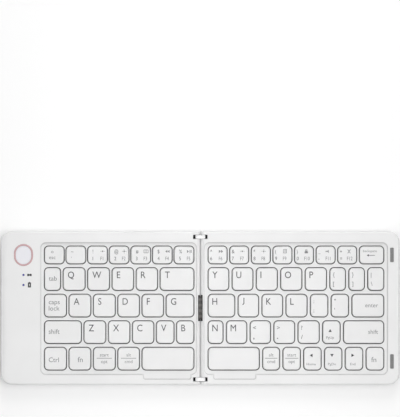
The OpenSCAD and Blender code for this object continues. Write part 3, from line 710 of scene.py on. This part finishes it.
def media_icon(legends, kind, x, y, key):
    """Small generic sign of a function, drawn with bars and triangles."""
    def shape(points):
        legends.shape([(x + px * ICON_UNIT, y + py * ICON_UNIT) for px, py in points], key, "pale_ink")

    def box(x0, y0, w, h):
        shape([(x0, y0), (x0 + w, y0), (x0 + w, y0 + h), (x0, y0 + h)])

    def frame_of(x0, y0, w, h, line):
        box(x0, y0, w, line)
        box(x0, y0 + h - line, w, line)
        box(x0, y0 + line, line, h - 2 * line)
        box(x0 + w - line, y0 + line, line, h - 2 * line)

    def triangle(x0, way):
        points = [(x0, 0.2), (x0 + 1.3 * way, 1.2), (x0, 2.2)]
        shape(points if way > 0 else points[::-1])

    if kind in ("dim", "bright"):
        box(0.9, 0.8, 0.9, 0.9)
        for step in ((0, 1.1), (2.2, 1.1)):
            box(*step, 0.5, 0.3)
        if kind == "bright":
            for step in ((1.2, 0), (1.2, 2.1)):
                box(*step, 0.3, 0.4)
    elif kind == "grid":
        frame_of(0, 0.1, 3.0, 2.2, 0.3)
        box(1.35, 0.4, 0.3, 1.6)
    elif kind == "back":
        triangle(1.3, -1)
        triangle(2.7, -1)
    elif kind == "play":
        triangle(0, 1)
        box(1.7, 0.2, 0.45, 2.0)
        box(2.5, 0.2, 0.45, 2.0)
    elif kind == "next":
        triangle(0, 1)
        triangle(1.4, 1)
    elif kind == "mute":
        box(0, 0.8, 0.6, 0.8)
        triangle(1.9, -1)
    elif kind == "pages":
        frame_of(0.2, 0, 2.2, 2.6, 0.35)
        box(0.8, 0.75, 1.0, 0.35)
        box(0.8, 1.5, 1.0, 0.35)
    elif kind == "lock":
        box(0.2, 0, 2.1, 1.2)
        frame_of(0.6, 1.25, 1.3, 1.1, 0.3)
    elif kind == "cut":
        shape([(0.2, 0), (0.7, 0), (2.4, 2.4), (1.9, 2.4)])
        shape([(1.9, 0), (2.4, 0), (1.5, 1.13), (1.25, 0.78)])
        shape([(0.2, 2.4), (1.1, 1.27), (1.35, 1.62), (0.7, 2.4)])


def number_marks(legends, marks, key):
    """Symbol over digit, and to their right a sign over the function's name."""
    symbol, digit, function, icon = marks
    low, high = key
    left, right = [low.x + indent for indent in NUMBER_INDENT[side_of(key)]]
    if side_of(key) == "right":
        right -= NUMBER_DRIFT * low.x
    upper, lower = [high.y - drop for drop in NUMBER_DROPS]
    legends.word(symbol, left, upper, MARK, key, "ink", slim=0.85)
    legends.word(digit, left, lower, MARK, key, "ink", slim=0.85)
    if function:
        legends.word(function, right, lower, MARK, key, "pale_ink", slim=0.76)
    if icon:
        media_icon(legends, icon, right, upper, key)


def stacked_words(legends, words, drop, key):
    """Words at the left of a key, one above the other, a little below its middle."""
    low, high = key
    middle = (low.y + high.y) / 2
    for i, text in enumerate(words):
        y = middle + (len(words) - 1) * WORD_PITCH / 2 - i * WORD_PITCH - drop
        legends.word(text, low.x + WORD_INDENT, y, WORD, key, "pale_ink", slim=0.98)


def right_word(legends, text, key):
    """Word that ends near the right edge of a key, a little below its middle."""
    low, high = key
    y = (low.y + high.y) / 2 - RIGHT_WORD_DROP
    legends.word(text, high.x - RIGHT_WORD_INDENT, y, RIGHT_WORD, key, "pale_ink", from_right=True)


def function_word(legends, text, key):
    low, high = key
    middle = (low + high) / 2
    x = middle.x + FUNCTION_WORD_PLACE[side_of(key)]
    y = middle.y - FUNCTION_WORD_DROP
    legends.word(text, x, y, FUNCTION_WORD, key, "pale_ink", centred=True)


def split_words(legends, words, key):
    """Two words in the middle of a key with a line between them."""
    low, high = key
    middle = (low + high) / 2
    for text, rise in zip(words, SPLIT_WORD_RISES):
        legends.word(text, middle.x, middle.y + rise, SMALL_WORD, key, "pale_ink", centred=True)
    reach = min(SPLIT_LINE_REACH, (high.x - low.x) / 2 - SPLIT_LINE_MARGIN)
    x0, x1 = middle.x - reach, middle.x + reach
    y0, y1 = [middle.y + rise for rise in SPLIT_LINE]
    legends.shape([(x0, y0), (x1, y0), (x1, y1), (x0, y1)], key, "ink")


def arrow_mark(legends, angle, text, key):
    """Small solid arrowhead with a word under it."""
    low, high = key
    cx = (low.x + high.x) / 2 - ARROW_SHIFT
    cy = high.y - (UP_ARROW_DROP if angle == UPWARD else ARROW_DROP)
    turn = math.radians(angle)
    points = []
    for x, y in ARROWHEAD:
        points.append((
            cx + (x * math.cos(turn) - y * math.sin(turn)) * MM,
            cy + (x * math.sin(turn) + y * math.cos(turn)) * MM,
        ))
    legends.shape(points, key, "dark_ink")
    legends.word(text, cx, high.y - ARROW_WORD_DROP, TINY_WORD, key, "pale_ink", slim=1.1,
                 centred=True)


def escape_mark(legends, key):
    low, high = key
    legends.word("esc", low.x + 3.5 * MM, low.y + 3.5 * MM, 2.9 * MM, key, "pale_ink")
    legends.word("o", low.x + 6.0 * MM, high.y - 5.2 * MM, 2.7 * MM, key, "pale_ink", centred=True)


def backspace_mark(legends, key):
    low, high = key
    cx = (low.x + high.x) / 2 - BACKSPACE_SHIFT
    word_y, arrow_y = [high.y - drop for drop in BACKSPACE_DROPS]
    legends.word("backspace", cx, word_y, TINY_WORD, key, "pale_ink", centred=True)
    legends.shape([(cx + px * MM, arrow_y + py * MM) for px, py in BACK_ARROW], key, "ink")


def print_legends(node, body, boxes):
    legends = Legends(node + "_print", body)
    for i, key in enumerate(boxes):
        if node in LETTERS:
            mark = LETTERS[node][i]
            if isinstance(mark, str):
                letter(legends, mark, key)
            else:
                pair(legends, *mark, key)
        elif node in NUMBER_KEYS:
            number_marks(legends, NUMBER_KEYS[node][i], key)
        elif node in LEFT_WORDS:
            stacked_words(legends, *LEFT_WORDS[node], key)
        elif node in RIGHT_WORDS:
            right_word(legends, RIGHT_WORDS[node], key)
        elif node in FUNCTION_WORDS:
            function_word(legends, FUNCTION_WORDS[node], key)
        elif node in SPLIT_WORDS:
            split_words(legends, SPLIT_WORDS[node], key)
        elif node in ARROWS:
            arrow_mark(legends, *ARROWS[node], key)
        elif node == "escape_key":
            escape_mark(legends, key)
        elif node == "backspace_key":
            backspace_mark(legends, key)
    legends.finish()


def key_nodes():
    """Bodies of the keys with their CAD node, in the record's order."""
    bodies = frame["record"]["behaviour"]["bodies"]
    return [(body, node) for body, members in bodies.items() for node in members
            if node.endswith("_key") or node.endswith("_keys")]


def dress_keys():
    places = {}
    for body, node in key_nodes():
        places[body] = build_keycaps(node, body)
        print_legends(node, body, places[body])
    return places


# Under the keys

def add_dome(bm, centre, base_z, radius, height):
    """Rubber dome as a turned shape: flange, curved wall and a top with a shallow dimple."""
    top_radius = DOME_TOP_SHARE * radius
    profile = [(radius, 0), (radius, 0.08), (radius * 0.93, 0.12), (radius * 0.86, 0.3),
               (radius * 0.8, 0.6), (top_radius, 0.78), (top_radius * 0.98, 0.95),
               (top_radius * 0.88, 1.0), (top_radius * 0.5, 0.985), (top_radius * 0.25, 0.95)]
    loops = []
    for r, share in profile:
        turns = [math.radians(360 / DOME_SIDES * k) for k in range(DOME_SIDES)]
        loops.append([(centre.x + r * math.cos(a), centre.y + r * math.sin(a),
                       base_z + height * share) for a in turns])
    loft(bm, loops)


def add_link(bm, solid):
    """Scissor link with its edges rounded."""
    part = solid.copy()
    bmesh.ops.bevel(part, geom=part.edges[:], offset=LINK_ROUND, segments=2,
                    affect="EDGES", profile=0.5, clamp_overlap=True)
    spare = bpy.data.meshes.new("spare")
    part.to_mesh(spare)
    part.free()
    bm.from_mesh(spare)
    bpy.data.meshes.remove(spare)


def solids_under(solids, keys):
    """The solids whose middle lies under one of the keys, each with the corners of its box."""
    boxes = [corners([v.co for v in solid.verts]) for solid in solids]
    found = []
    for low, high in keys:
        for solid, (base, top) in zip(solids, boxes):
            middle = (base + top) / 2
            if low.x < middle.x < high.x and low.y < middle.y < high.y:
                found.append((solid, base, top))
    return found


def build_mechanisms(places):
    """Dome and scissor links of each key; they ride on the half."""
    for side in ("left", "right"):
        domes, scissors = side + "_domes", side + "_scissors"
        dome_solids = solids_of(NODES[domes])
        link_solids = solids_of(NODES[scissors])
        for body, keys in places.items():
            if side_of(keys[0]) != side:
                continue
            dome_bm, link_bm = bmesh.new(), bmesh.new()
            for _, base, top in solids_under(dome_solids, keys):
                add_dome(dome_bm, (base + top) / 2, base.z, (top.x - base.x) / 2, top.z - base.z)
            for solid, _, _ in solids_under(link_solids, keys):
                add_link(link_bm, solid)
            for name, bm, node, slot in ((body + "_domes", dome_bm, domes, "dome"),
                                         (body + "_links", link_bm, scissors, "scissor")):
                piece = object_from_bmesh(name, bm)
                paint(piece, slot)
                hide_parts(node)
                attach(piece, side + "_half")
                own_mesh(piece)
        for solid in dome_solids + link_solids:
            solid.free()


# Hinge

def add_ribbon(bm, path, thickness, width):
    """Flat strip across the hinge: path is its middle line as (x, z) points, width runs along Y."""
    count = len(path)
    above, below = [], []
    for i, (x, z) in enumerate(path):
        x0, z0 = path[max(i - 1, 0)]
        x1, z1 = path[min(i + 1, count - 1)]
        length = math.hypot(x1 - x0, z1 - z0)
        nx, nz = -(z1 - z0) / length * thickness / 2, (x1 - x0) / length * thickness / 2
        above.append((x + nx, z + nz))
        below.append((x - nx, z - nz))
    outline = above + below[::-1]
    loops = [[(x, -width / 2 + width * k / RIBBON_STEPS, z) for x, z in outline]
             for k in range(RIBBON_STEPS + 1)]
    rings = [[bm.verts.new(p) for p in loop] for loop in loops]
    total = len(outline)
    for lower, upper in zip(rings, rings[1:]):
        for i in range(total):
            j = (i + 1) % total
            bm.faces.new((lower[i], lower[j], upper[j], upper[i]))
    for ring in (rings[0], rings[-1]):
        for i in range(count - 1):
            bm.faces.new((ring[i], ring[i + 1], ring[total - 2 - i], ring[total - 1 - i]))


def build_cable():
    """Flat cable with some slack between the halves: its ends ride on the halves and its loop stays in
    place.
    """
    low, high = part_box("flat_cable")
    level = high.z - CABLE_T / 2
    reach = high.x - CABLE_T / 2
    rigid = [(reach, low.z), (reach, low.z + 0.4 * (level - low.z))]
    for a in quarter_turn(ROUND_STEPS):
        rigid.append((reach - CABLE_BEND + CABLE_BEND * math.cos(a),
                      level - CABLE_BEND + CABLE_BEND * math.sin(a)))
    rigid += [(3 * MM, level), (2 * MM, level), (0.9 * MM, level)]
    turn = 0.18 * MM
    soft = [(0.9 * MM, level), (0.45 * MM, level)]
    for a in quarter_turn(ROUND_STEPS)[1:]:
        soft.append((0.35 * MM - turn * math.sin(a), level - turn * (1 - math.cos(a))))
    soft += [(0.17 * MM, level - CABLE_DROOP * s) for s in (0.25, 0.4, 0.55, 0.7, 0.85)]
    soft += [(0.12 * MM, level - CABLE_DROOP * 0.95), (0.01 * MM, level - CABLE_DROOP)]
    for side, way in (("right", 1), ("left", -1)):
        half = side + "_half"
        for name, path in (("cable_end", rigid), ("cable_loop", soft)):
            bm = bmesh.new()
            add_ribbon(bm, [(way * x, z) for x, z in path], CABLE_T, high.y - low.y)
            piece = object_from_bmesh(f"{side}_{name}", bm)
            paint(piece, "cable")
            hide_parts("flat_cable")
            if path is rigid:
                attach(piece, half)
            else:
                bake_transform(piece)


def build_link_covers():
    """White cover plates let into the upper and lower faces of each hinge link."""
    depth, proud, margin, corner = 0.35 * MM, 0.05 * MM, 0.06 * MM, 0.4 * MM
    for node in ("hinge_link_front", "hinge_link_back"):
        low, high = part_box(node)
        y0, y1 = low.y + margin, high.y - margin
        reach = (high.x - low.x) / 2 - (high.z - low.z) / 2 + proud
        for name, z0, z1 in (("top", high.z - depth, high.z + proud),
                             ("under", low.z - proud, low.z + depth)):
            bm = bmesh.new()
            loops = []
            for inset, z in ((0.1, z0), (0, z0 + 0.1 * MM), (0, z1 - 0.1 * MM),
                             (0.03, z1 - 0.03 * MM), (0.1, z1)):
                flat = rounded_outline(-reach + inset * MM, reach - inset * MM, y0 + inset * MM,
                                       y1 - inset * MM, corner, 4)
                loops.append([(x, y, z) for x, y in flat])
            loft(bm, loops)
            cover = object_from_bmesh(f"{node}_{name}_cover", bm)
            paint(cover, "link")
            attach(cover, "hinge_links")


# Case details

def build_panel_marks():
    """Generic signs beside the two status lights: a pair of joined blocks and a battery's outline."""
    low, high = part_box("status_lights")
    x = high.x + PANEL_MARK_GAP
    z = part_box("left_bezel")[1].z
    flat = (Vector((x - 1, low.y - 1, z)), Vector((x + 1, high.y + 1, z)))
    marks = Legends("panel_print", "left_half", "case", 0)

    def bar(cx, cy, w, h):
        points = [(-w, -h), (w, -h), (w, h), (-w, h)]
        marks.shape([(cx + px * MM / 2, cy + py * MM / 2) for px, py in points], flat, "dark_ink")

    pitch = high.y - low.y - LIGHT_D
    upper = high.y - LIGHT_D / 2
    bar(x - 1.0 * MM, upper, 1.4, 1.8)
    bar(x + 1.0 * MM, upper, 1.4, 1.8)
    bar(x, upper, 0.6, 1.1)
    lower = upper - pitch
    bar(x, lower + 1.4 * MM, 2.4, 1.0)
    bar(x, lower - 1.4 * MM, 2.4, 1.0)
    bar(x - 0.7 * MM, lower, 1.0, 1.8)
    bar(x + 0.7 * MM, lower, 1.0, 1.8)
    bar(x, lower + 2.1 * MM, 1.0, 0.4)
    marks.finish()


def build_socket_tongue():
    """Contact tongue in the mouth of the charging socket."""
    low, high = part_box("charging_socket")
    cx, cz = (low.x + high.x) / 2, (low.z + high.z) / 2
    w, t = (high.x - low.x) / 2 - 1.3 * MM, 0.35 * MM
    bm = bmesh.new()
    loops = []
    for y, shrink in ((low.y + 0.3 * MM, 0), (high.y - 0.9 * MM, 0), (high.y - 0.7 * MM, 0.12 * MM)):
        loops.append([(x, y, z) for x, z in rounded_outline(
            cx - w + shrink, cx + w - shrink, cz - t + shrink, cz + t - shrink, 0.12 * MM, 3)])
    loft(bm, loops)
    tongue = object_from_bmesh("socket_tongue", bm)
    paint(tongue, "grommet")
    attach(tongue, "left_half")


# Stage

def combine(nodes, links, operation, first, second):
    node = nodes.new("ShaderNodeMath")
    node.operation = operation
    links.new(first, node.inputs[0])
    links.new(second, node.inputs[1])
    return node.outputs[0]


def seen_directly(nodes, links):
    """1 where the camera, a glossy surface or a clear one looks, 0 for the light on other surfaces."""
    path = nodes.new("ShaderNodeLightPath")
    seen = path.outputs["Is Camera Ray"]
    for name in ("Is Glossy Ray", "Is Transmission Ray"):
        seen = combine(nodes, links, "MAXIMUM", seen, path.outputs[name])
    return seen


def build_floor():
    bm = bmesh.new()
    bmesh.ops.create_grid(bm, x_segments=8, y_segments=8, size=FLOOR_REACH)
    floor = object_from_bmesh("floor", bm, smooth=False)
    darker, lighter = (0.89, 0.89, 0.89), (0.91, 0.91, 0.91)
    material, nodes, links, shader = node_material("floor_paper", lighter, 0.9)
    vector = object_coordinates(nodes, links, (1, 1, 1))
    fibre = noise(nodes, links, vector, 400.0, 3.0)
    links.new(ramp(nodes, links, fibre, darker, lighter), shader.inputs["Base Color"])
    distance = nodes.new("ShaderNodeVectorMath")
    distance.operation = "LENGTH"
    links.new(vector, distance.inputs[0])
    lift = span(nodes, links, distance.outputs["Value"], NEAR_LIFT, FAR_LIFT, NEAR, FAR)
    shader.inputs["Emission Color"].default_value = (1, 1, 1, 1)
    links.new(combine(nodes, links, "MULTIPLY", seen_directly(nodes, links), lift),
              shader.inputs["Emission Strength"])
    floor.data.materials.append(material)


# Soft lamps: name, place, target, width, length and watts
LAMPS = [
    ("hinge_strip", (0, 0, 0.42), (0, 0, 0), 0.06, 1.4, 1.35),
    ("overhead", (0.5, 0.1, 2.0), (0, 0.05, 0), 1.2, 1.2, 10.7),
    ("behind", (0.2, 1.7, 1.1), (0, 0, 0), 1.0, 1.0, 9.5),
]


def build_lights():
    world = bpy.data.worlds.new("studio")
    world.use_nodes = True
    nodes, links = world.node_tree.nodes, world.node_tree.links
    background = nodes["Background"]
    background.inputs["Color"].default_value = (1, 1, 1, 1)
    level = span(nodes, links, seen_directly(nodes, links), WORLD_LEVEL, 1.0)
    links.new(level, background.inputs["Strength"])
    bpy.context.scene.world = world
    for name, place, target, width, length, watts in LAMPS:
        lamp = bpy.data.lights.new(name, "AREA")
        lamp.shape = "RECTANGLE"
        lamp.size = width
        lamp.size_y = length
        lamp.energy = watts
        obj = bpy.data.objects.new(name, lamp)
        bpy.context.scene.collection.objects.link(obj)
        obj.location = place
        aim = Vector(target) - Vector(place)
        obj.rotation_euler = aim.to_track_quat("-Z", "Y").to_euler()


def build_camera():
    """Camera straight above, framed so that a pixel at the rim's level is METRES_PER_PIXEL wide."""
    data = bpy.data.cameras.new("camera")
    data.sensor_fit = "VERTICAL"
    data.sensor_height = SENSOR / MM
    distance = CAMERA_HEIGHT - cad_box[1].z
    data.lens = SENSOR / MM * distance / (IMAGE_H * METRES_PER_PIXEL)
    camera = bpy.data.objects.new("camera", data)
    bpy.context.scene.collection.objects.link(camera)
    x = (IMAGE_W / 2 - MIDDLE_X) * METRES_PER_PIXEL
    y = (MIDDLE_Y - IMAGE_H / 2) * METRES_PER_PIXEL
    camera.location = (x, y, CAMERA_HEIGHT)
    bpy.context.scene.camera = camera


bpy.context.scene.view_settings.view_transform = "Standard"
build_camera()
dress_cad_nodes()
key_places = dress_keys()
build_mechanisms(key_places)
build_cable()
build_link_covers()
build_panel_marks()
build_socket_tongue()
build_floor()
build_lights()
